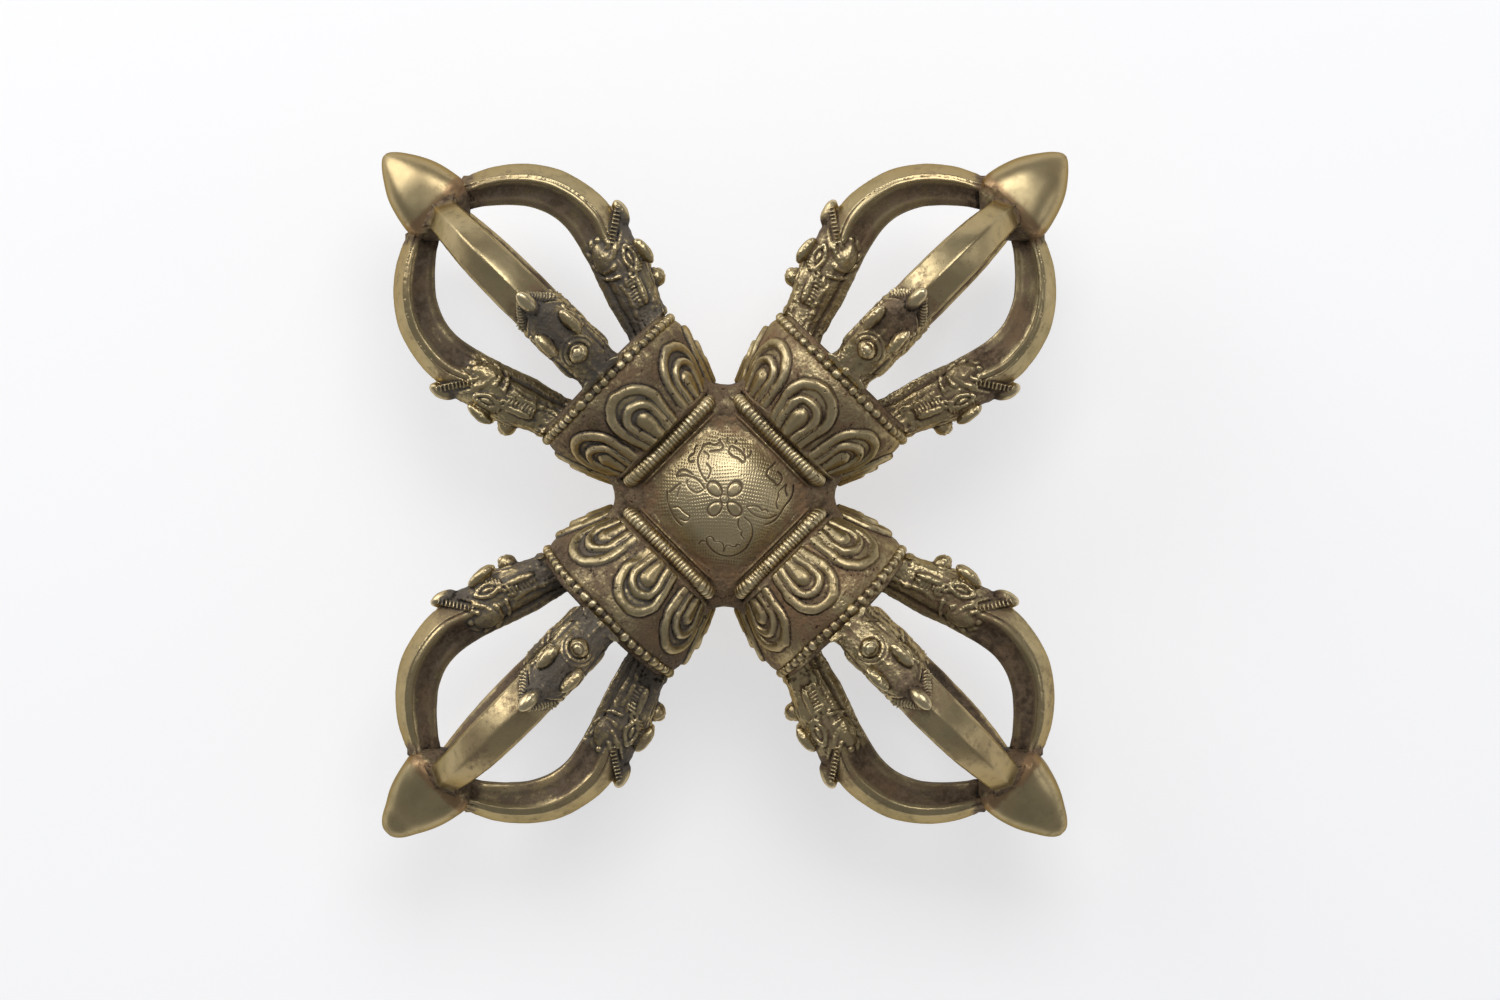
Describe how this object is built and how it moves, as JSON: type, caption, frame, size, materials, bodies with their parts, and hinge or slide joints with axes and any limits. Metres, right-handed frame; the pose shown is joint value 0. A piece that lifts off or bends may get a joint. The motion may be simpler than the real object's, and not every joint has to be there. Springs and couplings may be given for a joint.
{
  "type": "crossed dorje vajra",
  "caption": "Cast brass crossed dorje: makara-headed prongs close under four-sided points on each arm, with lotus collars, beaded rims and a domed square hub.",
  "frame": {"origin": "under the hub's centre, on the plane that the back prongs' makara snouts rest on", "axes": "+Z out of the front boss, towards the viewer in the picture; arms along +X (upper right in the picture), +Y (upper left), -X and -Y"},
  "size_m": [0.24, 0.24, 0.0673],
  "materials": {
    "bright_brass": "hand polished and worn, dark in the recesses",
    "brass": "cast and chased, worn highs, brown patina in the recesses",
    "dark_brass": "cast, brown patina"
  },
  "bodies": {
    "root": {"hub_block": "dark_brass", "front_boss": "brass", "back_boss": "brass", "east_neck_ring": "brass", "east_lotus_collar": "brass", "east_bead_ring": "bright_brass", "east_central_prong": "bright_brass", "east_prong_front": "bright_brass", "east_prong_back": "bright_brass", "east_prong_left": "bright_brass", "east_prong_right": "bright_brass", "north_neck_ring": "brass", "north_lotus_collar": "brass", "north_bead_ring": "bright_brass", "north_central_prong": "bright_brass", "north_prong_front": "bright_brass", "north_prong_back": "bright_brass", "north_prong_left": "bright_brass", "north_prong_right": "bright_brass", "west_neck_ring": "brass", "west_lotus_collar": "brass", "west_bead_ring": "bright_brass", "west_central_prong": "bright_brass", "west_prong_front": "bright_brass", "west_prong_back": "bright_brass", "west_prong_left": "bright_brass", "west_prong_right": "bright_brass", "south_neck_ring": "brass", "south_lotus_collar": "brass", "south_bead_ring": "bright_brass", "south_central_prong": "bright_brass", "south_prong_front": "bright_brass", "south_prong_back": "bright_brass", "south_prong_left": "bright_brass", "south_prong_right": "bright_brass"}
  },
  "joints": []
}
